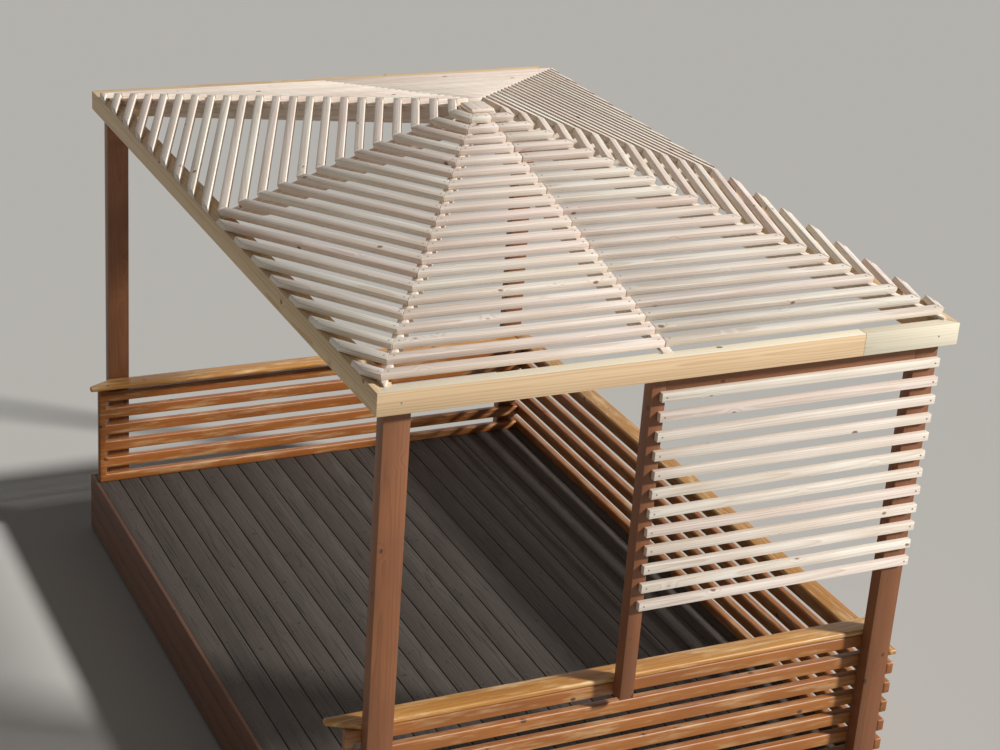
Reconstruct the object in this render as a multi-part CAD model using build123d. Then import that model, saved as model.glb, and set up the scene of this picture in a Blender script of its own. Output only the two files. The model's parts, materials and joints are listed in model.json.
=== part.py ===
"""A garden pergola: a raised timber deck, four corner posts, low boarded walls on three sides,
a battened screen in half of the front, and a hipped roof of open slats.

Millimetres, +Z up. The origin is on the ground at the middle of the roof's plan. The front is
towards -Y and the open side, where people walk in, is towards -X.
"""
from build123d import *
import math
import os

os.makedirs("parts", exist_ok=True)

# Roof plan and heights
ROOF_WIDTH = 2800.0  # across the front eave
ROOF_LENGTH = 4330.0  # along the side eaves
ROOF_RISE = 471.0  # from the top of the eave beams to the peak under the slats
PEAK_X = -41.0  # the peak stands a little off the middle, as it was built
PEAK_Y = -29.0
BACK_SETBACK = 150.0  # the back slope starts this far in from the outer face of the back beam
HEADROOM = 2271.0  # from the deck to the underside of the eave beams
DECK_HEIGHT = 360.0  # from the ground to the top of the deck boards

# Timber sections
POST_WIDTH = 120.0  # along the front
POST_DEPTH = 70.0
POST_INSET = 55.0  # from the outer face of the eave beams to the posts
BEAM_WIDTH = 105.0
BEAM_HEIGHT = 105.0
RAFTER_WIDTH = 45.0
RAFTER_DEPTH = 95.0
RAFTER_SEAT = 60.0  # how far a rafter's foot reaches over the eave beam, in plan
SEAM_PLACE = -72.0  # where the mid rafters of the front and back meet the eave
SIDE_SEAM_PLACE = -50.0  # where the mid rafters of the sides meet the eave
HUB_SIZE = 150.0
HUB_DROP = 190.0  # from the peak to the underside of the hub

# Roof slats, laid in rings that step down from the peak
SLAT_WIDTH = 40.0
SLAT_THICKNESS = 30.0
SLAT_PITCH = 94.5  # from ring to ring, in plan, on the front slope
BACK_PITCH_LESS = 4.4  # how much closer together the rings lie on the back slope, which has one more
PEAK_CLEAR = 120.0  # no ring starts nearer to the peak than this, in plan
EAVE_STRIP = 74.0  # bare top of the front beam outside the lowest ring, in plan
BACK_STRIP = 15.0  # the same on the back slope, from where the slope starts
CHEVRON_REACH = 1.63  # how much farther out a side slat lies at mid length than at the hip
CHEVRON_SHIFT = 30.0  # how far the points of the chevrons are drawn in from there
MITRE_GAP = 2.0
CAP_WIDTH = 130.0
CAP_LENGTH = 140.0
CAP_THICKNESS = 24.0

# Screen of battens in the front
SCREEN_POST = 70.0
SCREEN_POST_LEFT = -121.0  # its left face
SCREEN_POST_TAIL = 82.0  # how far it hangs below the top of the wall cap, in front of the boards
SCREEN_RAIL_HEIGHT = 95.0
SCREEN_BATTENS = 12
SCREEN_BATTEN_HEIGHT = 42.0
SCREEN_BATTEN_THICKNESS = 28.0
SCREEN_BATTEN_PITCH = 92.0
SCREEN_TOP = 73.0  # from the underside of the eave beam to the top of the first batten
SCREEN_LAP = 30.0  # how much of the screen post the battens cover
SCREEN_OVERHANG = 0.0  # past the corner post
SCREEN_END_STEP = 7.0  # the batten ends are cut by eye and differ by this much

# Deck
DECK_BOARD_THICKNESS = 28.0
DECK_OVERHANG = 72.0  # past the posts on the open side and on the right
JOIST_WIDTH = 45.0
JOIST_HEIGHT = 145.0
JOISTS = 11
BEARER_WIDTH = 120.0  # stacked sleepers that lie on the ground
BEARER_INSET = 445.0  # from the outer face of the posts to the middle of the outer bearers
SKIRT_THICKNESS = 20.0
SKIRT_GROUND_GAP = 12.0

# Low walls of spaced boards, each with a cap board
FRONT_WALL_HEIGHT = 758.0  # from the deck to the top of the cap
BACK_WALL_HEIGHT = 657.0  # the back and right walls are lower
WALL_BOARD_HEIGHT = 64.0
WALL_BOARD_THICKNESS = 42.0
WALL_BOARD_PITCH = 107.5
BACK_WALL_TOP_GAP = 40.0  # between the cap and the highest board of the back and right walls
END_TRIM_WIDTH = 45.0  # the upright that closes the boards on the open side
CAP_BOARD_WIDTH = 111.0
CAP_BOARD_THICKNESS = 28.0
RIGHT_CAP_NOSE = 8.0
EAR_REACH = 138.0  # how far the front and back caps run past the posts on the open side
EAR_TIP_WIDTH = 33.0  # their ends are sawn off at a slant to this width

# Places worked out from the sizes above
half_width = ROOF_WIDTH / 2
half_length = ROOF_LENGTH / 2
post_top = DECK_HEIGHT + HEADROOM
eave_top = post_top + BEAM_HEIGHT
post_outer_x = half_width - POST_INSET
post_outer_y = half_length - POST_INSET
post_inner_x = post_outer_x - POST_WIDTH
post_inner_y = post_outer_y - POST_DEPTH
deck_outer_x = post_outer_x + DECK_OVERHANG
deck_underside = DECK_HEIGHT - DECK_BOARD_THICKNESS
joist_underside = deck_underside - JOIST_HEIGHT
back_eave_y = half_length - BACK_SETBACK
front_run = half_length + PEAK_Y
back_run = back_eave_y - PEAK_Y
beam_inner_x = half_width - BEAM_WIDTH
beam_inner_y = half_length - BEAM_WIDTH
plate_inner_y = beam_inner_y - BEAM_WIDTH
peak_height = eave_top + ROOF_RISE
below_all = -1000.0
above_all = 9000.0


def block(x0, x1, y0, y1, z0, z1):
    """A box between two corners, given in either order."""
    size = (abs(x1 - x0), abs(y1 - y0), abs(z1 - z0))
    middle = ((x0 + x1) / 2, (y0 + y1) / 2, (z0 + z1) / 2)
    return Pos(*middle) * Box(*size)


def prism(outline, z0, z1):
    """An upright prism over a plan outline."""
    face = make_face(Polyline(*outline, close=True))
    return Pos(0, 0, z0) * extrude(face, z1 - z0, dir=(0, 0, 1))


def save(name, *shapes):
    """Write one sub-part, made of one or more solids, as parts/NAME.step."""
    found = []
    for shape in shapes:
        found.extend(shape.solids())
    part = found[0] if len(found) == 1 else Compound(children=found)
    export_step(part, f"parts/{name}.step")
    print(f"{name}: {len(found)} solid(s)")


def largest(shape):
    """The largest solid that a cut left."""
    return max(shape.solids(), key=lambda solid: solid.volume)


# Posts, beams and the screen

def corner_post(side, end):
    """side is -1 for the open side and 1 for the right; end is -1 for the front and 1 for the back."""
    return block(side * post_inner_x, side * post_outer_x,
                 end * post_inner_y, end * post_outer_y, 0, post_top)


def beam_along_x(end):
    outer, inner = end * half_length, end * beam_inner_y
    outline = [(-half_width, outer), (half_width, outer), (beam_inner_x, inner), (-beam_inner_x, inner)]
    return prism(outline, post_top, eave_top)


def beam_along_y(side):
    outer, inner = side * half_width, side * beam_inner_x
    outline = [(outer, -half_length), (outer, half_length), (inner, beam_inner_y), (inner, -beam_inner_y)]
    return prism(outline, post_top, eave_top)


def screen_battens():
    top = post_top - SCREEN_TOP
    left = SCREEN_POST_LEFT + SCREEN_POST - SCREEN_LAP
    right = post_outer_x + SCREEN_OVERHANG
    face = -post_outer_y
    battens = []
    for row in range(SCREEN_BATTENS):
        # The ends follow a small pattern that doesn't repeat from row to row.
        start = left - SCREEN_END_STEP * ((row * 5) % 4) / 3
        stop = right + SCREEN_END_STEP * ((row * 7) % 5) / 4
        high = top - row * SCREEN_BATTEN_PITCH
        low = high - SCREEN_BATTEN_HEIGHT
        battens.append(block(start, stop, face - SCREEN_BATTEN_THICKNESS, face, low, high))
    return battens


# Roof

def roof_pyramid():
    """The solid under the slats, a low pyramid on the eaves."""
    base = [(-half_width, -half_length), (half_width, -half_length),
            (half_width, back_eave_y), (-half_width, back_eave_y)]
    corners = [Vector(x, y, eave_top) for x, y in base]
    peak = Vector(PEAK_X, PEAK_Y, peak_height)
    faces = [Face(Wire.make_polygon([corners[i], corners[(i + 1) % 4], peak], close=True)) for i in range(4)]
    faces.append(Face(Wire.make_polygon(corners, close=True)))
    return Solid(Shell(faces))


def under_peak(width, length, low, high):
    """An upright block centred under the peak."""
    return Pos(PEAK_X, PEAK_Y, 0) * block(-width / 2, width / 2, -length / 2, length / 2, low, high)


pyramid = roof_pyramid()
hub_block = under_peak(HUB_SIZE, HUB_SIZE, below_all, above_all)


def from_peak(foot):
    """The length in plan and the heading, in degrees, of the line from the peak to a foot."""
    run_x, run_y = foot[0] - PEAK_X, foot[1] - PEAK_Y
    return math.hypot(run_x, run_y), math.degrees(math.atan2(run_y, run_x))


def upright_slab(foot, width):
    """A tall slab of this width that stands on the line from the peak to a place on the eave."""
    run, heading = from_peak(foot)
    slab = Box(run + width, width, above_all, align=(Align.MIN, Align.CENTER, Align.MIN))
    return Pos(PEAK_X, PEAK_Y, 0) * Rot(0, 0, heading) * slab


def rafter(foot, *trims):
    """A rafter from the hub to the eave. Its top is planed to the slopes that meet over it and its
    foot is notched over the beam. trims are the feet of the hip rafters that it is cut against."""
    run, heading = from_peak(foot)
    outline = [(0, peak_height), (run, eave_top),
               (run, eave_top - RAFTER_DEPTH), (0, peak_height - RAFTER_DEPTH)]
    side = make_face(Plane.XZ * Polyline(*outline, close=True))
    plank = extrude(side, RAFTER_WIDTH / 2, both=True)
    plank = Pos(PEAK_X, PEAK_Y, 0) * Rot(0, 0, heading) * plank
    room = block(-beam_inner_x, beam_inner_x, -beam_inner_y, plate_inner_y, 0, above_all)
    seat_x = beam_inner_x + RAFTER_SEAT
    front_seat, back_seat = beam_inner_y + RAFTER_SEAT, plate_inner_y + RAFTER_SEAT
    room += block(-seat_x, seat_x, -front_seat, back_seat, eave_top, above_all)
    plank = ((plank & pyramid) & room) - hub_block
    for trim in trims:
        plank -= upright_slab(trim, RAFTER_WIDTH)
    return largest(plank)


def ring_shares(run, strip, pitch):
    """How far out the outer edge of each ring lies, as shares of the way from the peak to the eave."""
    edge = run - strip
    shares = []
    while edge > PEAK_CLEAR:
        shares.append(edge / run)
        edge -= pitch
    return shares


front_rings = ring_shares(front_run, EAVE_STRIP, SLAT_PITCH)
back_rings = ring_shares(back_run, BACK_STRIP, SLAT_PITCH - BACK_PITCH_LESS)


def on_roof(foot, share):
    """The place at this share of the way from the peak down to a foot, on top of the rafters."""
    x = PEAK_X + (foot[0] - PEAK_X) * share
    y = PEAK_Y + (foot[1] - PEAK_Y) * share
    return Vector(x, y, peak_height - ROOF_RISE * share)


def chevron_share(ring, side_run):
    """Where the chevron of a ring has its point, as a share of the way from the peak to the side eave.
    The back slope's first ring, number -1 here, has no partner on the front slope."""
    edge = front_run - EAVE_STRIP - ring * SLAT_PITCH
    return edge / front_run * CHEVRON_REACH - CHEVRON_SHIFT / side_run


def slat(start, stop, normal):
    """A slat on the slope with this normal. Its outer lower edge runs from start to stop, and its
    sides stand square to the slope."""
    run = stop - start
    middle = (start + stop) * 0.5
    inward = normal.cross(run.normalized())
    if inward.dot(Vector(middle.X, middle.Y, 0)) > 0:
        inward = inward * -1
    bar = Box(run.length + 4 * SLAT_WIDTH, SLAT_WIDTH, SLAT_THICKNESS,
              align=(Align.CENTER, Align.MIN, Align.MIN))
    place = Plane(origin=middle, x_dir=inward.cross(normal), z_dir=normal)
    return place.location * bar


def half_slope(hip, seam):
    """The slats between a hip and the seam in the middle of a slope. hip and seam are the places
    where the two lines meet the eave."""
    wedge = prism([(PEAK_X, PEAK_Y), hip, seam], eave_top, above_all)
    wedge -= upright_slab(hip, MITRE_GAP)
    wedge -= upright_slab(seam, MITRE_GAP)
    at_back = hip[1] > 0
    along_side = abs(seam[0]) >= half_width
    if along_side:
        side_run = abs(seam[0] - PEAK_X)
        normal = Vector(math.copysign(ROOF_RISE / side_run, seam[0]), 0, 1).normalized()
    else:
        run = back_run if at_back else front_run
        normal = Vector(0, math.copysign(ROOF_RISE / run, seam[1]), 1).normalized()
    slats = []
    for number, share in enumerate(back_rings if at_back else front_rings):
        seam_share = share
        if along_side:
            seam_share = chevron_share(number - 1 if at_back else number, side_run)
        slats.append(largest(slat(on_roof(hip, share), on_roof(seam, seam_share), normal) & wedge))
    return slats


# Deck and walls

posts_room = [corner_post(side, end) for side in (-1, 1) for end in (-1, 1)]


def clear_of_posts(shape):
    for post in posts_room:
        shape -= post
    return shape


def joists():
    bars = []
    step = (2 * post_inner_y - JOIST_WIDTH) / (JOISTS - 1)
    for number in range(JOISTS):
        start = -post_inner_y + number * step
        bars.append(block(-deck_outer_x, deck_outer_x, start, start + JOIST_WIDTH,
                          joist_underside, deck_underside))
    return bars


def bearer(x):
    return block(x - BEARER_WIDTH / 2, x + BEARER_WIDTH / 2, -post_outer_y, post_outer_y, 0, joist_underside)


def wall_rows(height, top_gap):
    """The lower and upper heights of a wall's boards, from the highest down to the deck."""
    high = DECK_HEIGHT + height - CAP_BOARD_THICKNESS - top_gap
    rows = []
    while high > DECK_HEIGHT + WALL_BOARD_HEIGHT / 3:
        rows.append((max(high - WALL_BOARD_HEIGHT, DECK_HEIGHT), high))
        high -= WALL_BOARD_PITCH
    return rows


def wall_along_x(end, height, top_gap):
    """Boards nailed to the inner faces of the posts. They run past the post on the open side, where
    an upright closes them."""
    outer = end * post_inner_y
    inner = end * (post_inner_y - WALL_BOARD_THICKNESS)
    wall_top = DECK_HEIGHT + height - CAP_BOARD_THICKNESS
    wall = block(-deck_outer_x, -deck_outer_x + END_TRIM_WIDTH, inner, outer, DECK_HEIGHT, wall_top)
    for low, high in wall_rows(height, top_gap):
        wall += block(-deck_outer_x + END_TRIM_WIDTH / 2, post_outer_x, inner, outer, low, high)
    return wall


def wall_along_y(height, top_gap):
    """Boards nailed to the outer faces of the posts on the right."""
    inner = post_outer_x
    outer = post_outer_x + WALL_BOARD_THICKNESS
    return [block(inner, outer, -post_outer_y, post_outer_y, low, high)
            for low, high in wall_rows(height, top_gap)]


def cap_along_x(end, height, right):
    """A cap board behind the posts. Its end on the open side is sawn off at a slant."""
    outer = end * post_inner_y
    inner = end * (post_inner_y - CAP_BOARD_WIDTH)
    tip = -post_outer_x - EAR_REACH
    tip_outer = inner + end * EAR_TIP_WIDTH
    outline = [(right, outer), (-post_outer_x, outer), (tip, tip_outer), (tip, inner), (right, inner)]
    top = DECK_HEIGHT + height
    return prism(outline, top - CAP_BOARD_THICKNESS, top)


def cap_along_y(height):
    outer = post_outer_x + WALL_BOARD_THICKNESS + RIGHT_CAP_NOSE
    top = DECK_HEIGHT + height
    board = block(outer - CAP_BOARD_WIDTH, outer, -post_outer_y, post_outer_y, top - CAP_BOARD_THICKNESS, top)
    return clear_of_posts(board)


# Write the sub-parts

names = {-1: "left", 1: "right"}
ends = {-1: "front", 1: "back"}
front_cap_top = DECK_HEIGHT + FRONT_WALL_HEIGHT
right_cap_inner = post_outer_x + WALL_BOARD_THICKNESS + RIGHT_CAP_NOSE - CAP_BOARD_WIDTH

for end in (-1, 1):
    eave_y = back_eave_y if end > 0 else -half_length
    seam = (SEAM_PLACE, eave_y)
    for side in (-1, 1):
        corner = f"{ends[end]}_{names[side]}"
        hip = (side * half_width, eave_y)
        save(f"post_{corner}", corner_post(side, end))
        save(f"hip_rafter_{corner}", rafter(hip))
        save(f"slats_{ends[end]}_slope_{names[side]}", *half_slope(hip, seam))
        save(f"slats_{names[side]}_slope_{ends[end]}", *half_slope(hip, (side * half_width, SIDE_SEAM_PLACE)))
    save(f"eave_beam_{ends[end]}", beam_along_x(end))
    save(f"mid_rafter_{ends[end]}", rafter(seam, (-half_width, eave_y)))
    skirt_inner, skirt_outer = end * post_outer_y, end * (post_outer_y + SKIRT_THICKNESS)
    save(f"deck_skirt_{ends[end]}",
         block(-deck_outer_x, deck_outer_x, skirt_inner, skirt_outer, SKIRT_GROUND_GAP, DECK_HEIGHT))

for side in (-1, 1):
    save(f"eave_beam_{names[side]}", beam_along_y(side))
    save(f"mid_rafter_{names[side]}", rafter((side * half_width, SIDE_SEAM_PLACE)))
    skirt_inner, skirt_outer = side * deck_outer_x, side * (deck_outer_x + SKIRT_THICKNESS)
    reach = post_outer_y + SKIRT_THICKNESS
    save(f"deck_skirt_{names[side]}",
         block(skirt_inner, skirt_outer, -reach, reach, SKIRT_GROUND_GAP, DECK_HEIGHT))

save("wall_front", wall_along_x(-1, FRONT_WALL_HEIGHT, 0))
save("wall_back", wall_along_x(1, BACK_WALL_HEIGHT, BACK_WALL_TOP_GAP))
save("wall_right", *wall_along_y(BACK_WALL_HEIGHT, BACK_WALL_TOP_GAP))
save("wall_cap_front", cap_along_x(-1, FRONT_WALL_HEIGHT, post_outer_x))
save("wall_cap_back", cap_along_x(1, BACK_WALL_HEIGHT, right_cap_inner))
save("wall_cap_right", cap_along_y(BACK_WALL_HEIGHT))

save("eave_plate_back", block(-beam_inner_x, beam_inner_x, plate_inner_y, beam_inner_y, post_top, eave_top))
hub = under_peak(HUB_SIZE, HUB_SIZE, peak_height - HUB_DROP, peak_height - CAP_THICKNESS)
save("roof_hub", hub & pyramid)
save("peak_cap", under_peak(CAP_WIDTH, CAP_LENGTH, peak_height - CAP_THICKNESS, peak_height))

screen_right = SCREEN_POST_LEFT + SCREEN_POST
save("screen_post", block(SCREEN_POST_LEFT, screen_right, -post_outer_y, -post_outer_y + SCREEN_POST,
                          front_cap_top - SCREEN_POST_TAIL, post_top))
save("screen_top_rail", block(screen_right, post_inner_x, -post_outer_y, -post_outer_y + SCREEN_POST,
                              post_top - SCREEN_RAIL_HEIGHT, post_top))
save("screen_battens", *screen_battens())

floor = block(-deck_outer_x, deck_outer_x, -post_outer_y, post_outer_y, deck_underside, DECK_HEIGHT)
save("deck_floor", clear_of_posts(floor))
save("deck_joists", *joists())
save("deck_bearer_left", bearer(-post_outer_x + BEARER_INSET))
save("deck_bearer_middle", bearer(0))
save("deck_bearer_right", bearer(post_outer_x - BEARER_INSET))
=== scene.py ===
"""A garden pergola of planed, sawn and stained pine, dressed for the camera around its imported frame.

The file is laid out as an add-on and is run as a script. Metres, +Z up, in the frame of the CAD.
"""
import json
import math
import random

import bpy
from bpy.props import FloatProperty, FloatVectorProperty, IntProperty, PointerProperty
from mathutils import Matrix, Quaternion, Vector

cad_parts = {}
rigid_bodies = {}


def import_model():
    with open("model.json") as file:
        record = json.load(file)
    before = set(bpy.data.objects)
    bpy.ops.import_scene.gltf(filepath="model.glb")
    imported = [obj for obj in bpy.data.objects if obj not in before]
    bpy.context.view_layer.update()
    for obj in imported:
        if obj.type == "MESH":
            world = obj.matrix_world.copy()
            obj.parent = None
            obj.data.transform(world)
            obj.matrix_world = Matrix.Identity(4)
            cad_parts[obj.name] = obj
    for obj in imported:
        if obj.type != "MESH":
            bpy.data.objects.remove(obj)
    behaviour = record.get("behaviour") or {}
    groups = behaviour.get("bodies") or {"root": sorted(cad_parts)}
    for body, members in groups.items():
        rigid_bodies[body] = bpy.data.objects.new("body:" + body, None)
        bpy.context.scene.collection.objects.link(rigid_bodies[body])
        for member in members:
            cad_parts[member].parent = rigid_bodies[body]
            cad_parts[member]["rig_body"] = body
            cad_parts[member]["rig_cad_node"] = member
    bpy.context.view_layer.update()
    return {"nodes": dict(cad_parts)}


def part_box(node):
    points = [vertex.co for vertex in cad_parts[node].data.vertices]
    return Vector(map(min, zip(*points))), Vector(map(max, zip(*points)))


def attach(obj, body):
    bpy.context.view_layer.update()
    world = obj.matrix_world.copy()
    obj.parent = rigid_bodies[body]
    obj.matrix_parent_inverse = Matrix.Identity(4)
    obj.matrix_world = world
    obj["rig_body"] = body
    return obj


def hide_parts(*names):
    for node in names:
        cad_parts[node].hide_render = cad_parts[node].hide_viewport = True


bl_info = {
    "name": "Garden Pergola",
    "version": (1, 0, 0),
    "blender": (4, 5, 0),
    "location": "View3D > Sidebar > Pergola",
    "description": "Dresses a slatted garden pergola with boards, eased edges, screws and timber finishes",
    "category": "Add Mesh",
}

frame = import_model()
UP = Vector((0, 0, 1))
FRONT = Vector((0, -1, 0))
# The heart of the tree lies this far beside, and this far above or below, the middle of a board
HEART_ASIDE = 0.045
HEART_NEAR = 0.020
HEART_FAR = 0.075
# How far the grain runs out of a board in each metre of its length, and the length of pattern that
# the boards are cut from
GRAIN_LEAN = 0.012
PATTERN_LENGTH = 40
# How far the rings wander along a board and swell round a knot
RING_WANDER = 0.016
RING_SWELL = 0.010
# How strongly a board takes its own tint, and a knot and a sawn end their darker colour
BOARD_TINT = 0.75
KNOT_DEPTH = 0.85
END_DEPTH = 0.4
# Cosines between a face's normal and a direction: over the first it looks that way, over the second
# more that way than not, and under the third sideways
FACING = 0.85
LEANING = 0.6
SIDEWAYS = 0.3
# A screw head's thickness, how far it stands proud of the timber, and how deep its socket is
HEAD_THICKNESS = 0.002
HEAD_PROUD = 0.0004
SOCKET_DEPTH = 0.0009
# The sockets of a Mix node that hold its two colours and its result
FIRST = 6
SECOND = 7
MIXED = 2


def linear(hex_colour):
    """The linear values of an sRGB colour such as #c8a67c."""
    channels = [int(hex_colour[place:place + 2], 16) / 255 for place in (1, 3, 5)]
    return tuple(channel / 12.92 if channel <= 0.04045 else ((channel + 0.055) / 1.055) ** 2.4
                 for channel in channels)


def length(name, description, default):
    return FloatProperty(name=name, description=description, default=default, min=0,
                         unit="LENGTH", precision=4)


def colour(name, description, hex_colour):
    return FloatVectorProperty(name=name, description=description, default=linear(hex_colour),
                               size=3, min=0, max=1, subtype="COLOR")


class PergolaSizes(bpy.types.PropertyGroup):
    """Sizes of the details that the CAD leaves to the dressing."""
    arris: length("Arris", "How far the edges of the thinner timbers are eased", 0.0018)
    beam_arris: length("Beam arris", "How far the edges of the eave beams are eased", 0.00216)
    post_arris: length("Post arris", "How far the edges of the posts are eased", 0.0027)
    board_rounding: length("Board rounding", "Radius along the edges of the wall boards", 0.009)
    cap_rounding: length("Cap rounding", "Radius along the edges of the wall caps and peak cap", 0.011)
    deck_board: length("Deck board", "Width of a deck board", 0.118)
    deck_gap: length("Deck gap", "Gap between two deck boards", 0.0055)
    deck_rounding: length("Deck rounding", "Radius along the edges of the deck boards", 0.003)
    post_clearance: length("Post clearance", "Gap between a post and the boards notched round it", 0.003)
    sleeper_rounding: length("Sleeper rounding", "Radius along the edges of the sleepers", 0.005)
    skirt_gap: length("Skirt gap", "Gap between two skirt boards", 0.004)
    skirt_boards: IntProperty(name="Skirt boards", description="Boards in the height of a skirt",
                              default=3, min=1)
    screw_head: length("Screw head", "Diameter of a countersunk screw head", 0.009)
    beam_outer: length("Outer beam", "Width of the outer timber of the front beam", 0.062)
    beam_rebate: length("Beam rebate", "How much lower the inner timber of the front beam lies", 0.055)
    beam_joint: length("Beam joint", "Where the front beam is pieced, right of the middle", 0.900)
    saw_cut: length("Saw cut", "Half the gap at the joint of the front beam", 0.0006)
    hand_slip: length("Hand slip", "How far a slat or batten lies off its mark", 0.0012)
    screw_inset: length("Screw inset", "From the end of a board to its screws", 0.024)
    deck_screw_inset: length("Deck screw inset", "From the side of a deck board to its screws", 0.022)
    cap_screw_inset: length("Cap screw inset", "From the front of the peak cap to its screws", 0.022)
    cap_screw_gap: length("Cap screw gap", "Between the two screws in the peak cap", 0.060)
    beam_screw_inset: length("Beam screw inset", "From the end of an eave beam to its screw", 0.106)
    beam_screw_drop: length("Beam screw drop", "From the top of an eave beam to its screw", 0.055)


class PergolaColours(bpy.types.PropertyGroup):
    """Main colours of the finishes."""
    fresh_pine: colour("Fresh pine", "Early wood of the roof slats and screen", "#f8f5ef")
    fresh_pine_grain: colour("Fresh pine grain", "Late wood of the roof slats and screen", "#cdb59e")
    # Cream pine is partly painted light: the front beam's top and short part take it as the sun lit them
    cream_pine: colour("Cream pine", "Early wood of the front beam's top and short part", "#f4efe0")
    painted_lit_cream_pine_grain: colour("Cream pine grain", "Late wood of the same", "#dccdb0")
    beam_pine: colour("Beam pine", "Early wood of the eave beams", "#e7d2b4")
    beam_pine_grain: colour("Beam pine grain", "Late wood of the eave beams", "#c09b76")
    brown_stain: colour("Brown stain", "Stain on the posts", "#8d5c39")
    brown_stain_grain: colour("Brown stain grain", "Late wood under the stain on the posts", "#683f24")
    honey_stain: colour("Honey stain", "Stain on the cap boards", "#c38d45")
    honey_stain_grain: colour("Honey stain grain", "Late wood under the honey stain", "#9c6426")
    orange_stain: colour("Orange stain", "Stain on the wall boards", "#a96a2c")
    orange_stain_grain: colour("Orange stain grain", "Late wood under the orange stain", "#7c461f")
    dark_stain: colour("Dark stain", "Stain on the skirts", "#6a4632")
    dark_stain_grain: colour("Dark stain grain", "Late wood under the dark stain", "#452a1c")
    weathered: colour("Weathered deck", "Greyed surface of the deck boards", "#504842")
    weathered_grain: colour("Weathered deck grain", "Raised grain of the deck boards", "#302924")
    zinc: colour("Zinc", "Zinc-plated steel of the new screws", "#a5a198")
    old_steel: colour("Old steel", "Dulled steel of the deck and wall screws", "#57504a")


class PergolaStage(bpy.types.PropertyGroup):
    """Camera, floor and light."""
    camera_place: FloatVectorProperty(name="Camera place", description="Where the camera stands",
                                      default=(-4.336, -9.143, 6.100), subtype="TRANSLATION")
    camera_aim: FloatVectorProperty(name="Camera aim", description="The point in the middle of the picture",
                                    default=(-0.853, -2.132, 2.736), subtype="TRANSLATION")
    camera_roll: FloatProperty(name="Camera roll", description="How far the camera leans to its right",
                               default=math.radians(4.21), subtype="ANGLE")
    camera_lens: FloatProperty(name="Lens", description="Focal length in millimetres on a 36 mm sensor",
                               default=75.9, unit="CAMERA")
    floor_size: FloatProperty(name="Floor size", description="Side of the square floor", default=160,
                              unit="LENGTH")
    floor: colour("Floor", "Pale floor", "#c2c0bb")
    background: colour("Background", "What the camera sees past the floor", "#e4e2de")
    key_energy: FloatProperty(name="Key light", description="Strength of the key light", default=4.7)
    key_direction: FloatVectorProperty(name="Key direction", description="The way that the key light travels",
                                       default=(-0.72, 0.48, -0.50), subtype="DIRECTION")
    key_angle: FloatProperty(name="Key softness", description="How wide the key light looks",
                             default=math.radians(6), subtype="ANGLE")
    key_colour: FloatVectorProperty(name="Key colour", description="Colour of the key light",
                                    default=(1.0, 0.99, 0.98), subtype="COLOR")
    sky_strength: FloatProperty(name="Fill light", description="Strength of the even light all round",
                                default=0.10)


# Modelling

def select_only(*pieces):
    bpy.ops.object.select_all(action="DESELECT")
    for piece in pieces:
        piece.select_set(True)
    bpy.context.view_layer.objects.active = pieces[0]


def copy_of_node(node, name):
    """A copy of a CAD node, its loose triangles merged back into flat faces."""
    select_only(frame["nodes"][node])
    bpy.ops.object.duplicate()
    piece = bpy.context.active_object
    piece.parent = None
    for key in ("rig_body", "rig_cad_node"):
        del piece[key]
    piece.name = name
    piece.data.name = name
    piece.data.materials.clear()
    if piece.data.has_custom_normals:
        bpy.ops.mesh.customdata_custom_splitnormals_clear()
    bpy.ops.object.mode_set(mode="EDIT")
    bpy.ops.mesh.select_all(action="SELECT")
    bpy.ops.mesh.remove_doubles(threshold=0.00005)
    bpy.ops.mesh.dissolve_limited(angle_limit=math.radians(0.5))
    bpy.ops.object.mode_set(mode="OBJECT")
    return piece


def add_board(low, high):
    """A length of timber between its lowest and highest corner, still with sharp edges."""
    low, high = Vector(low), Vector(high)
    bpy.ops.mesh.primitive_cube_add(size=1, location=(low + high) / 2, scale=high - low)
    bpy.ops.object.transform_apply(location=True, rotation=True, scale=True)
    return bpy.context.active_object


def join(name, pieces):
    select_only(*pieces)
    if len(pieces) > 1:
        bpy.ops.object.join()
    piece = bpy.context.active_object
    piece.name = name
    piece.data.name = name
    return piece


def ease_edges(piece, radius, segments=2):
    """Round every edge, as a plane and sandpaper leave them."""
    select_only(piece)
    bpy.ops.object.mode_set(mode="EDIT")
    bpy.ops.mesh.select_all(action="SELECT")
    bpy.ops.mesh.bevel(offset=radius, segments=segments, affect="EDGES", clamp_overlap=True)
    bpy.ops.object.mode_set(mode="OBJECT")


def separate_lengths(mesh):
    """The vertex numbers of each separate length of timber in a mesh."""
    leader = list(range(len(mesh.vertices)))

    def find(vertex):
        while leader[vertex] != vertex:
            leader[vertex] = leader[leader[vertex]]
            vertex = leader[vertex]
        return vertex

    for edge in mesh.edges:
        leader[find(edge.vertices[0])] = find(edge.vertices[1])
    groups = {}
    for vertex in range(len(leader)):
        groups.setdefault(find(vertex), []).append(vertex)
    return list(groups.values())


def unsettle(piece, slip, seed):
    """Shift each length of timber a little and swing its ends by as much, as hand work leaves it."""
    mesh = piece.data
    chance = random.Random(seed)
    for group in separate_lengths(mesh):
        points = [mesh.vertices[vertex].co for vertex in group]
        middle = sum(points, Vector()) / len(points)
        reach = max((point - middle).length for point in points)
        shift = Vector((chance.uniform(-slip, slip), chance.uniform(-slip, slip), 0))
        swing = Matrix.Rotation(chance.uniform(-slip, slip) / reach, 3, "Z")
        for point in points:
            point.xyz = middle + shift + swing @ (point - middle)


def cut_off(piece, place, direction):
    """Saw a piece through at a place and keep what lies behind it, seen along the direction."""
    select_only(piece)
    bpy.ops.object.mode_set(mode="EDIT")
    bpy.ops.mesh.select_all(action="SELECT")
    bpy.ops.mesh.bisect(plane_co=place, plane_no=direction, use_fill=True, clear_outer=True)
    bpy.ops.object.mode_set(mode="OBJECT")


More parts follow.
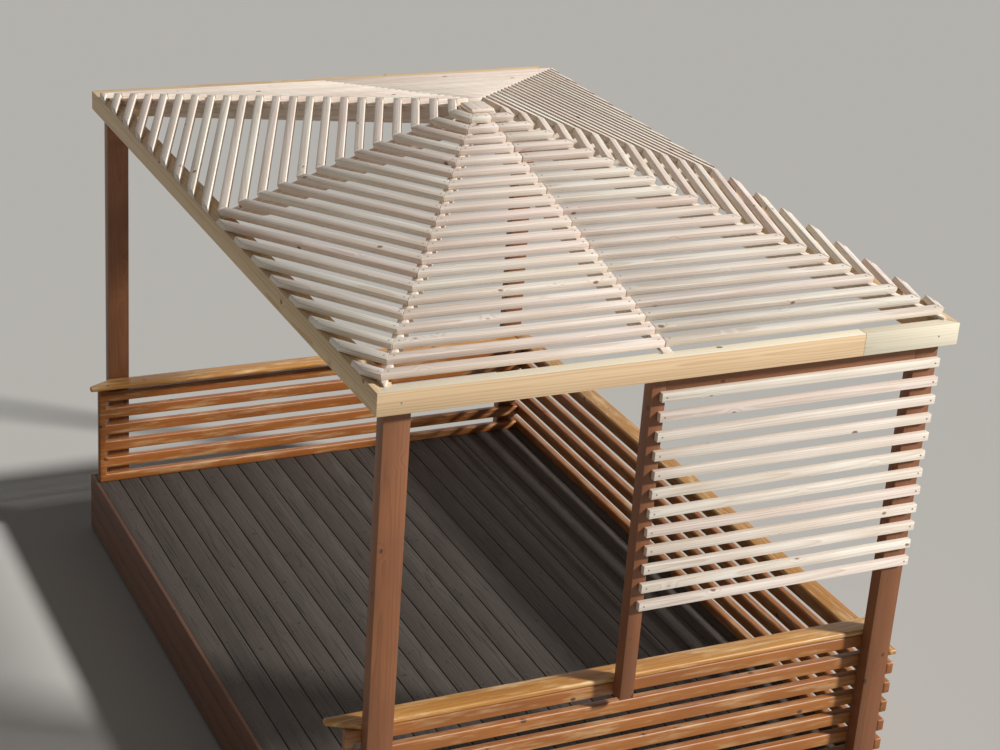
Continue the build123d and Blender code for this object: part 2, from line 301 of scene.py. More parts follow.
def cut_away(piece, low, high):
    """Cut the room between two corners out of a piece."""
    cutter = add_board(low, high)
    select_only(piece)
    cut = piece.modifiers.new("Cut", "BOOLEAN")
    cut.object = cutter
    cut.operation = "DIFFERENCE"
    cut.solver = "EXACT"
    bpy.ops.object.modifier_apply(modifier=cut.name)
    bpy.data.objects.remove(cutter)


def lay_grain(piece, seed):
    """Give each length of timber its own grain. The attribute holds how far a point lies along the
    length and where it lies from the heart of the tree that the length was sawn from."""
    mesh = piece.data
    chance = random.Random(seed)
    lengths = separate_lengths(mesh)
    owner = {vertex: number for number, group in enumerate(lengths) for vertex in group}
    along = [Vector((0, 0, 0)) for _ in lengths]
    flat = [(0.0, UP) for _ in lengths]
    for edge in mesh.edges:
        run = mesh.vertices[edge.vertices[1]].co - mesh.vertices[edge.vertices[0]].co
        number = owner[edge.vertices[0]]
        if run.length > along[number].length:
            along[number] = run
    for face in mesh.polygons:
        number = owner[face.vertices[0]]
        square = abs(face.normal.dot(along[number].normalized())) < SIDEWAYS
        if square and face.area > flat[number][0]:
            flat[number] = (face.area, face.normal.copy())
    grain = [0.0] * (3 * len(mesh.vertices))
    tone = [0.0] * len(mesh.vertices)
    for number, group in enumerate(lengths):
        axis = along[number].normalized()
        depth = flat[number][1]
        across = depth.cross(axis)
        middle = sum((mesh.vertices[vertex].co for vertex in group), Vector()) / len(group)
        start = chance.uniform(0, PATTERN_LENGTH)
        aside = chance.uniform(-HEART_ASIDE, HEART_ASIDE)
        below = chance.choice((-1, 1)) * chance.uniform(HEART_NEAR, HEART_FAR)
        lean = [chance.uniform(-GRAIN_LEAN, GRAIN_LEAN) for _ in range(2)]
        shade = chance.random()
        for vertex in group:
            offset = mesh.vertices[vertex].co - middle
            far = offset.dot(axis)
            grain[3 * vertex:3 * vertex + 3] = (far + start,
                                                offset.dot(across) - aside + far * lean[0],
                                                offset.dot(depth) - below + far * lean[1])
            tone[vertex] = shade
    end = []
    for face in mesh.polygons:
        axis = along[owner[face.vertices[0]]].normalized()
        end.append(1.0 if abs(face.normal.dot(axis)) > LEANING else 0.0)
    for name, kind, domain, field, values in (("grain", "FLOAT_VECTOR", "POINT", "vector", grain),
                                              ("tone", "FLOAT", "POINT", "value", tone),
                                              ("end_grain", "FLOAT", "FACE", "value", end)):
        mesh.attributes.new(name, kind, domain).data.foreach_set(field, values)


def finish_piece(piece, material, slot, seed, *nodes):
    """Lay the grain, give the piece its finish, and set it in place of the CAD nodes."""
    lay_grain(piece, seed)
    piece.data.materials.append(material)
    select_only(piece)
    bpy.ops.object.shade_smooth_by_angle(angle=math.radians(35))
    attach(piece, "root")
    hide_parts(*nodes)


def ends_of_faces(piece, direction, inset):
    """Where a screw goes near both ends of each face that looks in a direction, with its normal.
    A face too short for two screws has one in its middle."""
    mesh = piece.data
    places = []
    for face in mesh.polygons:
        if face.normal.dot(direction) < FACING or len(face.vertices) != 4:
            continue
        corners = [mesh.vertices[vertex].co for vertex in face.vertices]
        edges = [(corners[number], corners[(number + 1) % 4]) for number in range(4)]
        edges.sort(key=lambda edge: (edge[1] - edge[0]).length)
        short = [(edge[0] + edge[1]) / 2 for edge in edges[:2]]
        run = short[1] - short[0]
        if run.length < 2.4 * inset:
            places.append(((short[0] + short[1]) / 2, face.normal.copy()))
            continue
        places.append((short[0] + run.normalized() * inset, face.normal.copy()))
        places.append((short[1] - run.normalized() * inset, face.normal.copy()))
    return places


def add_screws(name, places, seed, steel="zinc_plated_steel"):
    """Countersunk screw heads, modelled once and copied to each place."""
    sizes = bpy.context.scene.pergola_sizes
    radius = sizes.screw_head / 2
    bpy.ops.mesh.primitive_cylinder_add(vertices=8, radius=radius, depth=HEAD_THICKNESS,
                                        location=(0, 0, HEAD_PROUD - HEAD_THICKNESS / 2))
    model = bpy.context.active_object
    bpy.ops.object.transform_apply(location=True, rotation=True, scale=True)
    for face in model.data.polygons:
        face.select = face.normal.z > FACING
    bpy.ops.object.mode_set(mode="EDIT")
    bpy.ops.mesh.select_mode(type="FACE")
    # A rim and a flat ring lie round a socket that narrows downwards
    for share in (0.18, 0.3):
        bpy.ops.mesh.inset(thickness=radius * share, depth=0)
    bpy.ops.mesh.extrude_region_move(TRANSFORM_OT_translate={"value": (0, 0, -SOCKET_DEPTH)})
    bpy.ops.transform.resize(value=(0.6, 0.6, 1))
    bpy.ops.mesh.select_mode(type="VERT")
    bpy.ops.object.mode_set(mode="OBJECT")
    chance = random.Random(seed)
    copies = []
    for place, normal in places:
        copy = model.copy()
        copy.data = model.data.copy()
        turn = normal.to_track_quat("Z", "Y") @ Quaternion((0, 0, 1), chance.uniform(0, math.pi))
        copy.data.transform(Matrix.Translation(place) @ turn.to_matrix().to_4x4())
        bpy.context.scene.collection.objects.link(copy)
        copies.append(copy)
    bpy.data.objects.remove(model)
    piece = join(name, copies)
    piece.data.materials.append(bpy.data.materials[steel])
    bpy.ops.object.shade_smooth_by_angle(angle=math.radians(35))
    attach(piece, "root")


# Finishes

def add_node(tree, kind, inputs=None, **settings):
    """Add one node with its settings, and set or link its inputs."""
    node = tree.nodes.new(kind)
    for key, value in settings.items():
        setattr(node, key, value)
    for key, value in (inputs or {}).items():
        if isinstance(value, bpy.types.NodeSocket):
            tree.links.new(value, node.inputs[key])
        else:
            node.inputs[key].default_value = value
    return node


def opaque(value):
    return (*value, 1.0)


def timber_material(name, pale, dark, knot, tints, roughness, ring_gap, ring_share, streak_share,
                    relief, checks=0.0, blotches=0.0, worn=0.0, coat=0.0):
    """Timber whose rings, streaks and knots follow the grain attribute, in metres. tints are two
    colours that whole boards lean towards. checks are the dark drying cracks of old boards, blotches
    the uneven depth of a stain or of darker wood, and worn the pale spots where hands and weather took
    the stain off. A pattern's scale is the number of its cells in a metre, along and across."""
    material = bpy.data.materials.new(name)
    material.use_nodes = True
    tree = material.node_tree
    tree.nodes.clear()
    grain = add_node(tree, "ShaderNodeAttribute", attribute_name="grain").outputs["Vector"]
    tone = add_node(tree, "ShaderNodeAttribute", attribute_name="tone").outputs["Fac"]
    end = add_node(tree, "ShaderNodeAttribute", attribute_name="end_grain").outputs["Fac"]

    # Knots are up to 20 mm wide and 30 mm long, about one to a metre of slat, as in common pine
    knot_place = add_node(tree, "ShaderNodeMapping", {"Vector": grain, "Scale": (5.0, 7.5, 7.5)})
    knots = add_node(tree, "ShaderNodeTexVoronoi", {"Vector": knot_place.outputs[0], "Scale": 1.0},
                     feature="F1").outputs["Distance"]
    knot_core = add_node(tree, "ShaderNodeMapRange", {"Value": knots, "From Min": 0.10, "From Max": 0.055},
                         interpolation_type="SMOOTHSTEP")
    knot_ring = add_node(tree, "ShaderNodeMapRange", {"Value": knots, "From Min": 0.30, "From Max": 0.05},
                         interpolation_type="SMOOTHSTEP")

    # The rings of fast-grown pine are 2 to 5 mm apart. They are drawn 5 to 12 mm apart, because finer
    # ones make a false pattern at the camera's distance. They wander and swell round the knots.
    wander_place = add_node(tree, "ShaderNodeMapping", {"Vector": grain, "Scale": (1.8, 14.0, 14.0)})
    wander = add_node(tree, "ShaderNodeTexNoise",
                      {"Vector": wander_place.outputs[0], "Scale": 1.0, "Detail": 2.0}).outputs["Fac"]
    wander = add_node(tree, "ShaderNodeMath", {0: wander, 1: RING_WANDER}, operation="MULTIPLY").outputs[0]
    swell = add_node(tree, "ShaderNodeMath", {0: knot_ring.outputs[0], 1: RING_SWELL},
                     operation="MULTIPLY").outputs[0]
    from_heart = add_node(tree, "ShaderNodeVectorMath", {0: grain, 1: (0, 1, 1)},
                          operation="MULTIPLY").outputs[0]
    from_heart = add_node(tree, "ShaderNodeVectorMath", {0: from_heart}, operation="LENGTH").outputs["Value"]
    radius = add_node(tree, "ShaderNodeMath", {0: from_heart, 1: wander}, operation="ADD").outputs[0]
    radius = add_node(tree, "ShaderNodeMath", {0: radius, 1: swell}, operation="ADD").outputs[0]
    turns = add_node(tree, "ShaderNodeMath", {0: radius, 1: 1 / ring_gap}, operation="MULTIPLY").outputs[0]
    ring = add_node(tree, "ShaderNodeMath", {0: turns}, operation="FRACT").outputs[0]
    # A ring darkens slowly from its early wood to its late wood and ends sharply
    ring_ramp = add_node(tree, "ShaderNodeValToRGB", {"Fac": ring})
    stops = ring_ramp.color_ramp.elements
    stops[0].color = opaque((0, 0, 0))
    stops[1].color = opaque((0.1, 0.1, 0.1))
    for place, level in ((0.45, 0.12), (0.80, 0.75), (0.92, 1.0)):
        stops.new(place).color = opaque((level, level, level))
    late_wood = add_node(tree, "ShaderNodeMath", {0: ring_ramp.outputs["Color"], 1: ring_share},
                         operation="MULTIPLY").outputs[0]

    # Streaks of darker wood are up to 9 mm wide and most of a metre long
    streak_place = add_node(tree, "ShaderNodeMapping", {"Vector": grain, "Scale": (1.3, 110.0, 110.0)})
    streaks = add_node(tree, "ShaderNodeTexNoise",
                       {"Vector": streak_place.outputs[0], "Scale": 1.0, "Detail": 4.0,
                        "Roughness": 0.6}).outputs["Fac"]
    streaks = add_node(tree, "ShaderNodeMapRange", {"Value": streaks, "From Min": 0.35, "From Max": 0.75,
                                                    "To Max": streak_share}).outputs[0]
    darkness = add_node(tree, "ShaderNodeMath", {0: late_wood, 1: streaks}, operation="ADD",
                        use_clamp=True).outputs[0]
    wood = add_node(tree, "ShaderNodeMix", {"Factor": darkness, FIRST: opaque(pale), SECOND: opaque(dark)},
                    data_type="RGBA").outputs[MIXED]

    # Whole boards differ, because they come from different trees
    tint = add_node(tree, "ShaderNodeMix",
                    {"Factor": tone, FIRST: opaque(tints[0]), SECOND: opaque(tints[1])},
                    data_type="RGBA").outputs[MIXED]
    wood = add_node(tree, "ShaderNodeMix", {"Factor": BOARD_TINT, FIRST: wood, SECOND: tint},
                    data_type="RGBA", blend_type="MULTIPLY").outputs[MIXED]
    if blotches:
        # Blotches, about 15 cm wide and 45 cm long, take the darker colour
        blotch_place = add_node(tree, "ShaderNodeMapping", {"Vector": grain, "Scale": (2.2, 7.0, 7.0)})
        blotch = add_node(tree, "ShaderNodeTexNoise",
                          {"Vector": blotch_place.outputs[0], "Scale": 1.0, "Detail": 3.0}).outputs["Fac"]
        blotch = add_node(tree, "ShaderNodeMapRange", {"Value": blotch, "From Min": 0.4, "From Max": 0.7,
                                                       "To Max": blotches}).outputs[0]
        wood = add_node(tree, "ShaderNodeMix", {"Factor": blotch, FIRST: wood, SECOND: opaque(dark)},
                        data_type="RGBA").outputs[MIXED]
    if worn:
        # Worn spots, about 3 cm wide and 30 cm long, show the pale wood under the stain
        worn_place = add_node(tree, "ShaderNodeMapping", {"Vector": grain, "Scale": (3.5, 30.0, 30.0)})
        spots = add_node(tree, "ShaderNodeTexNoise",
                         {"Vector": worn_place.outputs[0], "Scale": 1.0, "Detail": 5.0,
                          "Roughness": 0.65}).outputs["Fac"]
        spots = add_node(tree, "ShaderNodeMapRange", {"Value": spots, "From Min": 0.50, "From Max": 0.66,
                                                      "To Max": worn}).outputs[0]
        wood = add_node(tree, "ShaderNodeMix",
                        {"Factor": spots, FIRST: wood, SECOND: opaque(linear("#e3c795"))},
                        data_type="RGBA").outputs[MIXED]
    knot_share = add_node(tree, "ShaderNodeMath", {0: knot_core.outputs[0], 1: KNOT_DEPTH},
                          operation="MULTIPLY").outputs[0]
    wood = add_node(tree, "ShaderNodeMix", {"Factor": knot_share, FIRST: wood, SECOND: opaque(knot)},
                    data_type="RGBA").outputs[MIXED]
    end_share = add_node(tree, "ShaderNodeMath", {0: end, 1: END_DEPTH}, operation="MULTIPLY").outputs[0]
    wood = add_node(tree, "ShaderNodeMix", {"Factor": end_share, FIRST: wood, SECOND: opaque(dark)},
                    data_type="RGBA").outputs[MIXED]

    # Fibres are finer than the render shows, and are drawn about 1 mm wide and 7 cm long
    fibre_place = add_node(tree, "ShaderNodeMapping", {"Vector": grain, "Scale": (14.0, 900.0, 900.0)})
    fibres = add_node(tree, "ShaderNodeTexNoise",
                      {"Vector": fibre_place.outputs[0], "Scale": 1.0, "Detail": 2.0}).outputs["Fac"]
    height = add_node(tree, "ShaderNodeMath", {0: late_wood, 1: fibres}, operation="ADD").outputs[0]
    if checks:
        # Drying cracks, 1 to 3 mm wide and up to 40 cm long, are dark and cut into the surface
        check_place = add_node(tree, "ShaderNodeMapping", {"Vector": grain, "Scale": (2.4, 120.0, 120.0)})
        check = add_node(tree, "ShaderNodeTexNoise",
                         {"Vector": check_place.outputs[0], "Scale": 1.0, "Detail": 1.0}).outputs["Fac"]
        check = add_node(tree, "ShaderNodeMapRange", {"Value": check, "From Min": 0.36, "From Max": 0.30,
                                                      "To Max": checks}).outputs[0]
        wood = add_node(tree, "ShaderNodeMix",
                        {"Factor": check, FIRST: wood, SECOND: opaque(linear("#1d1814"))},
                        data_type="RGBA").outputs[MIXED]
        height = add_node(tree, "ShaderNodeMath", {0: height, 1: check}, operation="SUBTRACT").outputs[0]
    # The fibres leave some places smoother and others rougher
    rough = add_node(tree, "ShaderNodeMapRange", {"Value": fibres, "To Min": roughness - 0.06,
                                                  "To Max": roughness + 0.08}).outputs[0]
    bump = add_node(tree, "ShaderNodeBump", {"Height": height, "Strength": 0.8,
                                             "Distance": relief}).outputs[0]
    shader = add_node(tree, "ShaderNodeBsdfPrincipled",
                      {"Base Color": wood, "Roughness": rough, "Normal": bump, "IOR": 1.5,
                       "Coat Weight": coat, "Coat Roughness": 0.35})
    add_node(tree, "ShaderNodeOutputMaterial", {"Surface": shader.outputs[0]})


def steel_material(name, base, metallic, smoothest, roughest):
    """Steel mottled by its plating, in spots about a millimetre wide."""
    material = bpy.data.materials.new(name)
    material.use_nodes = True
    tree = material.node_tree
    tree.nodes.clear()
    place = add_node(tree, "ShaderNodeTexCoord").outputs["Object"]
    mottle = add_node(tree, "ShaderNodeTexNoise", {"Vector": place, "Scale": 900.0,
                                                   "Detail": 2.0}).outputs["Fac"]
    rough = add_node(tree, "ShaderNodeMapRange", {"Value": mottle, "To Min": smoothest,
                                                  "To Max": roughest}).outputs[0]
    shader = add_node(tree, "ShaderNodeBsdfPrincipled",
                      {"Base Color": opaque(base), "Metallic": metallic, "Roughness": rough})
    add_node(tree, "ShaderNodeOutputMaterial", {"Surface": shader.outputs[0]})


class PERGOLA_OT_finishes(bpy.types.Operator):
    """Make the timber and metal finishes"""
    bl_idname = "pergola.finishes"
    bl_label = "Finishes"

    def execute(self, context):
        colours = context.scene.pergola_colours
        knot = linear("#7a4a2a")
        white = linear("#ffffff")
        # Planed pine that nothing was put on: pale, matt, with faint rings and pink or cream boards
        timber_material("planed_pine", colours.fresh_pine, colours.fresh_pine_grain, knot,
                        (linear("#f5e6e1"), linear("#fdfcf3")), roughness=0.62, ring_gap=0.008,
                        ring_share=0.45, streak_share=0.48, relief=0.0003, blotches=0.35)
        # The same pine in a larger section, older and yellower on the eave beams. The cream copy is partly
        # the wood's own colour and partly painted light, for the sunlit top of the front beam and its short
        # part
        timber_material("cream_pine", colours.cream_pine, colours.painted_lit_cream_pine_grain, knot,
                        (linear("#fbf4e2"), white), roughness=0.60, ring_gap=0.012,
                        ring_share=0.4, streak_share=0.3, relief=0.0003)
        timber_material("beam_pine", colours.beam_pine, colours.beam_pine_grain, knot,
                        (linear("#efe0c8"), linear("#fff6e0")), roughness=0.60, ring_gap=0.012,
                        ring_share=0.45, streak_share=0.35, relief=0.0003)
        # Pine left as sawn, under the deck: a rough face without any sheen, and duller with dust
        timber_material("sawn_pine", colours.beam_pine, colours.beam_pine_grain, knot,
                        (linear("#d9c2a4"), linear("#e8d6bb")), roughness=0.75, ring_gap=0.006,
                        ring_share=0.5, streak_share=0.35, relief=0.0006)
        # Oil stains leave the rings visible and a low sheen on the surface
        timber_material("brown_stained_pine", colours.brown_stain, colours.brown_stain_grain,
                        linear("#3a2012"), (linear("#f0e0d0"), white), roughness=0.50, ring_gap=0.008,
                        ring_share=0.4, streak_share=0.35, relief=0.0003, blotches=0.5, coat=0.1)
        timber_material("honey_stained_pine", colours.honey_stain, colours.honey_stain_grain,
                        linear("#5a3012"), (linear("#f2e2cf"), white), roughness=0.45, ring_gap=0.009,
                        ring_share=0.6, streak_share=0.35, relief=0.0003, blotches=0.4, worn=0.7,
                        coat=0.15)
        timber_material("orange_stained_pine", colours.orange_stain, colours.orange_stain_grain,
                        linear("#42200c"), (linear("#e8d4c0"), white), roughness=0.48, ring_gap=0.008,
                        ring_share=0.5, streak_share=0.35, relief=0.0003, blotches=0.45, worn=0.3,
                        coat=0.1)
        # A dark stain on sawn boards soaks in and dries matt, so only the raised grain shows
        timber_material("dark_stained_boards", colours.dark_stain, colours.dark_stain_grain,
                        linear("#24140c"), (linear("#d8ccc4"), white), roughness=0.72, ring_gap=0.006,
                        ring_share=0.55, streak_share=0.4, relief=0.0006, blotches=0.5)
        # Old deck boards: grey, rough, with raised grain and drying cracks along it
        timber_material("weathered_pine", colours.weathered, colours.weathered_grain,
                        linear("#2c241e"), (linear("#cfc2b6"), white), roughness=0.85, ring_gap=0.005,
                        ring_share=0.6, streak_share=0.5, relief=0.0012, checks=0.9, blotches=0.45)
        # Zinc-plated steel is a soft grey mirror, and years outdoors dull it
        steel_material("zinc_plated_steel", colours.zinc, metallic=1.0, smoothest=0.30, roughest=0.50)
        steel_material("dulled_steel", colours.old_steel, metallic=0.5, smoothest=0.60, roughest=0.85)
        return {"FINISHED"}


# Roof

class PERGOLA_OT_roof_slats(bpy.types.Operator):
    """Ease the edges of the roof slats and screw them down"""
    bl_idname = "pergola.roof_slats"
    bl_label = "Roof slats"

    def execute(self, context):
        sizes = context.scene.pergola_sizes
        seed = 100
        screws = []
        for node in sorted(name for name in frame["nodes"] if name.startswith("slats_")):
            _, slope, _, half = node.split("_")
            piece = copy_of_node(node, f"{slope}_slope_slats_{half}")
            unsettle(piece, sizes.hand_slip, seed)
            screws += ends_of_faces(piece, UP, sizes.screw_inset)
            ease_edges(piece, sizes.arris)
            finish_piece(piece, bpy.data.materials["planed_pine"], "roof_slat_pine", seed, node)
            seed += 1
        add_screws("roof_slat_screws", screws, seed)
        return {"FINISHED"}


class PERGOLA_OT_roof_frame(bpy.types.Operator):
    """Finish the eave beams, rafters, hub and peak cap"""
    bl_idname = "pergola.roof_frame"
    bl_label = "Roof frame"

    def execute(self, context):
        sizes = context.scene.pergola_sizes
        seed = 200
        for node in sorted(frame["nodes"]):
            if node == "eave_beam_front":
                self.lay_front_beam(sizes, seed)
            elif node.startswith("eave_"):
                _, kind, side = node.split("_")
                piece = copy_of_node(node, f"{side}_eave_{kind}_timber")
                ease_edges(piece, sizes.beam_arris)
                finish_piece(piece, bpy.data.materials["beam_pine"], "eave_beam_pine", seed, node)
            elif "rafter" in node or node == "roof_hub":
                piece = copy_of_node(node, node + "_timber")
                ease_edges(piece, sizes.arris)
                finish_piece(piece, bpy.data.materials["planed_pine"], "rafter_pine", seed, node)
            seed += 1
        cap = copy_of_node("peak_cap", "peak_cap_board")
        ease_edges(cap, sizes.cap_rounding, 4)
        finish_piece(cap, bpy.data.materials["planed_pine"], "roof_slat_pine", seed, "peak_cap")
        low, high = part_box("peak_cap")
        middle = (low.x + high.x) / 2
        front = low.y + sizes.cap_screw_inset
        places = [(Vector((middle + side * sizes.cap_screw_gap / 2, front, high.z)), UP)
                  for side in (-1, 1)]
        add_screws("peak_cap_screws", places, seed)
        self.screw_beam_corners(sizes, seed)
        return {"FINISHED"}

    def screw_beam_corners(self, sizes, seed):
        """One screw at each end of the front and back beams, through the mitre. It lies half as
        proud of the timber as the others, because the beams are the ends of the object."""
        places = []
        for side, direction in (("front", FRONT), ("back", -FRONT)):
            low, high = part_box(f"eave_beam_{side}")
            outer = low.y + HEAD_PROUD / 2 if side == "front" else high.y - HEAD_PROUD / 2
            for end in (low.x + sizes.beam_screw_inset, high.x - sizes.beam_screw_inset):
                places.append((Vector((end, outer, high.z - sizes.beam_screw_drop)), direction))
        add_screws("eave_corner_screws", places, seed)

    def lay_front_beam(self, sizes, seed):
        """The front beam is pieced from a long and a short timber. Its inner part lies lower, so
        that a gap shows under the lowest slat."""
        low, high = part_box("eave_beam_front")
        past = 0.1
        room = ((low.x - past, low.y + sizes.beam_outer, high.z - sizes.beam_rebate),
                (high.x + past, high.y + past, high.z + past))
        lengths = [copy_of_node("eave_beam_front", f"front_eave_beam_{name}") for name in ("long", "short")]
        for piece, direction in zip(lengths, (1, -1)):
            cut_off(piece, (sizes.beam_joint - direction * sizes.saw_cut, 0, 0), (direction, 0, 0))
            cut_away(piece, *room)
            ease_edges(piece, sizes.beam_arris)
            finish_piece(piece, bpy.data.materials["cream_pine"], "eave_beam_pine", seed,
                         "eave_beam_front")
        # The long timber's top keeps the cream pine and its front takes the beam pine: painted light on the
        # top and painted shade on the front, partly the wood's own colour
        long_beam = lengths[0].data
        long_beam.materials.append(bpy.data.materials["beam_pine"])
        for face in long_beam.polygons:
            # The front faces and the eased edges that look more forward than up take the darker, yellower
            # wood: painted shade on the front against painted light on the top, and partly the wood's own
            # colour
            if face.normal.dot(FRONT) > LEANING:
                face.material_index = 1


# Posts and screen

class PERGOLA_OT_posts(bpy.types.Operator):
    """Finish the corner posts, the screen's post and its top rail"""
    bl_idname = "pergola.posts"
    bl_label = "Posts"

    def execute(self, context):
        sizes = context.scene.pergola_sizes
        seed = 300
        for node in sorted(frame["nodes"]):
            if node.startswith("post_") or node in ("screen_post", "screen_top_rail"):
                piece = copy_of_node(node, node + "_timber")
                ease_edges(piece, sizes.post_arris)
                finish_piece(piece, bpy.data.materials["brown_stained_pine"], "post_stained", seed, node)
            seed += 1
        return {"FINISHED"}


class PERGOLA_OT_screen(bpy.types.Operator):
    """Finish the battens of the front screen and screw them to the posts"""
    bl_idname = "pergola.screen"
    bl_label = "Screen battens"

    def execute(self, context):
        sizes = context.scene.pergola_sizes
        piece = copy_of_node("screen_battens", "screen_batten_set")
        unsettle(piece, sizes.hand_slip, 399)
        screws = ends_of_faces(piece, FRONT, sizes.screw_inset)
        ease_edges(piece, sizes.arris)
        finish_piece(piece, bpy.data.materials["planed_pine"], "screen_pine", 400, "screen_battens")
        add_screws("screen_screws", screws, 401)
        return {"FINISHED"}


# Walls

class PERGOLA_OT_walls(bpy.types.Operator):
    """Lay the wall boards, their end uprights and the cap boards"""
    bl_idname = "pergola.walls"
    bl_label = "Walls"

    def execute(self, context):
        sizes = context.scene.pergola_sizes
        material = bpy.data.materials["orange_stained_pine"]
        outward = {"front": FRONT, "back": -FRONT, "right": Vector((1, 0, 0))}
        screws = []
        for seed, side in enumerate(("front", "back", "right"), 500):
            node = f"wall_{side}"
            piece = copy_of_node(node, f"{side}_wall_boards")
            screws += ends_of_faces(piece, outward[side], sizes.screw_inset)
            ease_edges(piece, sizes.board_rounding, 4)
            finish_piece(piece, material, "wall_board_stained", seed, node)
        material = bpy.data.materials["honey_stained_pine"]
        for seed, side in enumerate(("front", "back", "right"), 510):
            node = f"wall_cap_{side}"
            piece = copy_of_node(node, f"{side}_wall_cap_board")
            ease_edges(piece, sizes.cap_rounding, 4)
            finish_piece(piece, material, "wall_cap_stained", seed, node)
        add_screws("wall_screws", screws, 520, "dulled_steel")
        return {"FINISHED"}


# Deck

class PERGOLA_OT_deck(bpy.types.Operator):
    """Lay the deck boards, the skirts, the joists and the sleepers under them"""
    bl_idname = "pergola.deck"
    bl_label = "Deck"

    def execute(self, context):
        sizes = context.scene.pergola_sizes
        low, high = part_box("deck_floor")
        pitch = sizes.deck_board + sizes.deck_gap
        count = round((high.x - low.x + sizes.deck_gap) / pitch)
        pitch = (high.x - low.x + sizes.deck_gap) / count
        boards = []
        for number in range(count):
            left = low.x + number * pitch
            boards.append(add_board((left, low.y, low.z), (left + pitch - sizes.deck_gap, high.y, high.z)))
        screws = self.screws_over_joists(boards, sizes)
        deck = join("deck_boards", boards)
        for node in sorted(name for name in frame["nodes"] if name.startswith("post_")):
            self.cut_clear(deck, node, sizes)
        ease_edges(deck, sizes.deck_rounding, 2)
        finish_piece(deck, bpy.data.materials["weathered_pine"], "deck_weathered", 600, "deck_floor")
        add_screws("deck_screws", screws, 605, "dulled_steel")
        self.lay_skirts(sizes)
        joists = copy_of_node("deck_joists", "deck_joist_set")
        ease_edges(joists, sizes.arris, 1)
        finish_piece(joists, bpy.data.materials["sawn_pine"], "frame_timber", 620, "deck_joists")
        for seed, side in enumerate(("left", "middle", "right"), 630):
            self.stack_sleepers(f"deck_bearer_{side}", f"{side}_sleepers", sizes, seed)
        return {"FINISHED"}

    def screws_over_joists(self, boards, sizes):
        """Two screws in each board over each joist, except in the posts' notches."""
        thickest_joist = 0.1
        margin = 0.01
        joists = frame["nodes"]["deck_joists"].data
        rows = []
        for group in separate_lengths(joists):
            depths = [joists.vertices[vertex].co.y for vertex in group]
            if max(depths) - min(depths) < thickest_joist:
                rows.append((max(depths) + min(depths)) / 2)
        posts = [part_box(node) for node in frame["nodes"] if node.startswith("post_")]
        places = []
        for board in boards:
            across = [vertex.co.x for vertex in board.data.vertices]
            top = max(vertex.co.z for vertex in board.data.vertices)
            for x in (min(across) + sizes.deck_screw_inset, max(across) - sizes.deck_screw_inset):
                for y in rows:
                    in_notch = any(low.x - margin < x < high.x + margin
                                   and low.y - margin < y < high.y + margin
                                   for low, high in posts)
                    if not in_notch:
                        places.append((Vector((x, y, top)), UP))
        return places

    def cut_clear(self, deck, node, sizes):
        """Notch the boards round a post, a few millimetres clear of it."""
        low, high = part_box(node)
        past = 0.02
        clear = Vector((sizes.post_clearance, sizes.post_clearance, past))
        cut_away(deck, low - clear, high + clear)

    def lay_skirts(self, sizes):
        for seed, side in enumerate(("front", "back", "left", "right"), 610):
            low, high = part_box(f"deck_skirt_{side}")
            step = (high.z - low.z + sizes.skirt_gap) / sizes.skirt_boards
            boards = []
            for row in range(sizes.skirt_boards):
                foot = low.z + row * step
                top = foot + step - sizes.skirt_gap
                boards.append(add_board((low.x, low.y, foot), (high.x, high.y, top)))
            skirt = join(f"{side}_skirt_boards", boards)
            ease_edges(skirt, sizes.arris)
            finish_piece(skirt, bpy.data.materials["dark_stained_boards"], "skirt_stained", seed,
                         f"deck_skirt_{side}")

    def stack_sleepers(self, node, name, sizes, seed):
        """Two layers of sleepers, each in two lengths, with their joints apart."""
        low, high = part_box(node)
        middle = (low.z + high.z) / 2
        layer_gap = 0.0015
        half_gap = 0.002
        sleepers = []
        for foot, top, joint in ((low.z, middle - layer_gap, 0.3), (middle, high.z, -0.4)):
            sleepers.append(add_board((low.x, low.y, foot), (high.x, joint - half_gap, top)))
            sleepers.append(add_board((low.x, joint + half_gap, foot), (high.x, high.y, top)))
        stack = join(name, sleepers)
        ease_edges(stack, sizes.sleeper_rounding, 2)
        finish_piece(stack, bpy.data.materials["dark_stained_boards"], "frame_timber", seed, node)


# Stage

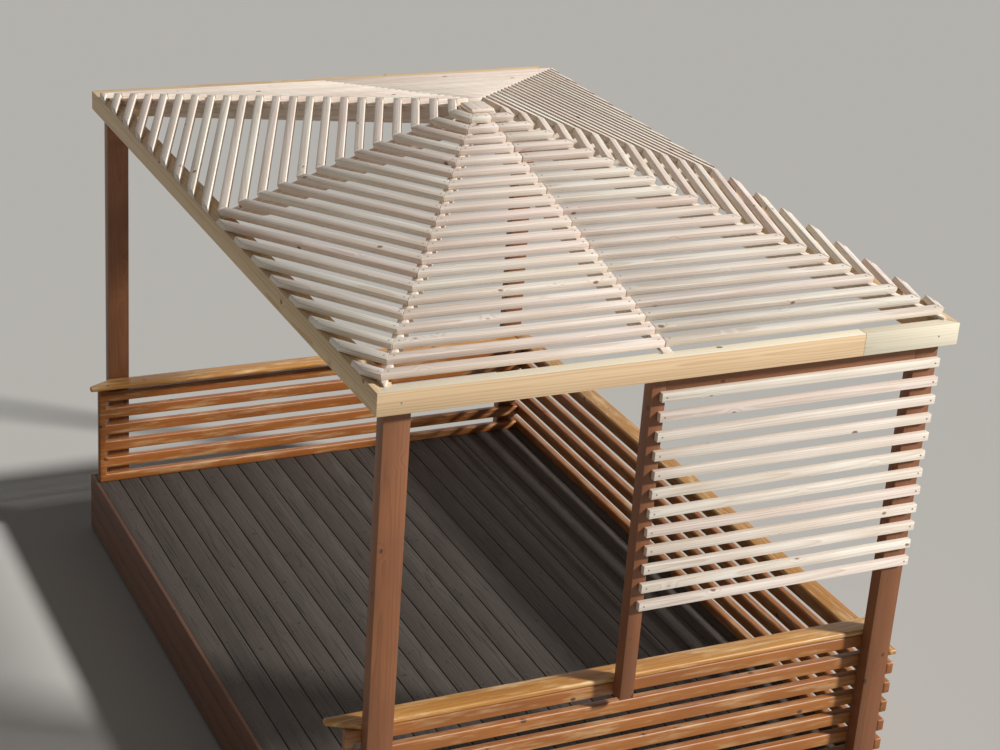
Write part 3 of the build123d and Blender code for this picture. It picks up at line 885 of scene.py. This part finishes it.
class PERGOLA_OT_stage(bpy.types.Operator):
    """Set up the floor, the light and the camera"""
    bl_idname = "pergola.stage"
    bl_label = "Stage"

    def execute(self, context):
        scene = context.scene
        stage = scene.pergola_stage
        bpy.ops.mesh.primitive_plane_add(size=stage.floor_size, location=(0, 0, 0))
        floor = context.active_object
        floor.name = "floor"
        floor.data.name = "floor"
        material = bpy.data.materials.new("pale_floor")
        material.use_nodes = True
        tree = material.node_tree
        tree.nodes.clear()
        shader = add_node(tree, "ShaderNodeBsdfDiffuse", {"Color": opaque(stage.floor)})
        add_node(tree, "ShaderNodeOutputMaterial", {"Surface": shader.outputs[0]})
        floor.data.materials.append(material)

        world = bpy.data.worlds.new("soft_light")
        scene.world = world
        world.use_nodes = True
        tree = world.node_tree
        tree.nodes.clear()
        path = add_node(tree, "ShaderNodeLightPath")
        seen = add_node(tree, "ShaderNodeMath",
                        {0: path.outputs["Is Camera Ray"], 1: path.outputs["Is Glossy Ray"]},
                        operation="MAXIMUM").outputs[0]
        light = add_node(tree, "ShaderNodeBackground",
                         {"Color": (1, 1, 1, 1), "Strength": stage.sky_strength})
        backdrop = add_node(tree, "ShaderNodeBackground",
                            {"Color": opaque(stage.background), "Strength": 1.0})
        mixed = add_node(tree, "ShaderNodeMixShader", {0: seen, 1: light.outputs[0], 2: backdrop.outputs[0]})
        add_node(tree, "ShaderNodeOutputWorld", {"Surface": mixed.outputs[0]})

        bpy.ops.object.light_add(type="SUN", location=(4, -6, 8))
        key = context.active_object
        key.name = "key_light"
        key.data.energy = stage.key_energy
        key.data.angle = stage.key_angle
        key.data.color = stage.key_colour
        key.rotation_mode = "QUATERNION"
        key.rotation_quaternion = Vector(stage.key_direction).to_track_quat("-Z", "Y")

        bpy.ops.object.camera_add(location=stage.camera_place)
        camera = context.active_object
        camera.name = "camera"
        camera.data.lens = stage.camera_lens
        camera.data.sensor_width = 36
        camera.data.clip_end = 400
        aim = (Vector(stage.camera_aim) - Vector(stage.camera_place)).to_track_quat("-Z", "Y")
        camera.rotation_mode = "QUATERNION"
        camera.rotation_quaternion = aim @ Quaternion((0, 0, 1), stage.camera_roll)
        scene.camera = camera
        scene.view_settings.view_transform = "Standard"
        return {"FINISHED"}


class PERGOLA_PT_panel(bpy.types.Panel):
    """The steps of the dressing"""
    bl_idname = "PERGOLA_PT_panel"
    bl_label = "Garden Pergola"
    bl_space_type = "VIEW_3D"
    bl_region_type = "UI"
    bl_category = "Pergola"

    def draw(self, context):
        for step in STEPS:
            self.layout.operator(step.bl_idname)
        scene = context.scene
        for group in (scene.pergola_sizes, scene.pergola_colours, scene.pergola_stage):
            column = self.layout.column()
            for key in group.__annotations__:
                column.prop(group, key)


GROUPS = (PergolaSizes, PergolaColours, PergolaStage)
STEPS = (PERGOLA_OT_finishes, PERGOLA_OT_roof_slats, PERGOLA_OT_roof_frame, PERGOLA_OT_posts,
         PERGOLA_OT_screen, PERGOLA_OT_walls, PERGOLA_OT_deck, PERGOLA_OT_stage)


def register():
    for part in (*GROUPS, *STEPS, PERGOLA_PT_panel):
        bpy.utils.register_class(part)
    bpy.types.Scene.pergola_sizes = PointerProperty(type=PergolaSizes)
    bpy.types.Scene.pergola_colours = PointerProperty(type=PergolaColours)
    bpy.types.Scene.pergola_stage = PointerProperty(type=PergolaStage)


def unregister():
    del bpy.types.Scene.pergola_stage
    del bpy.types.Scene.pergola_colours
    del bpy.types.Scene.pergola_sizes
    for part in reversed((*GROUPS, *STEPS, PERGOLA_PT_panel)):
        bpy.utils.unregister_class(part)


def main():
    register()
    bpy.ops.pergola.finishes()
    bpy.ops.pergola.roof_slats()
    bpy.ops.pergola.roof_frame()
    bpy.ops.pergola.posts()
    bpy.ops.pergola.screen()
    bpy.ops.pergola.walls()
    bpy.ops.pergola.deck()
    bpy.ops.pergola.stage()


if __name__ == "__main__":
    main()
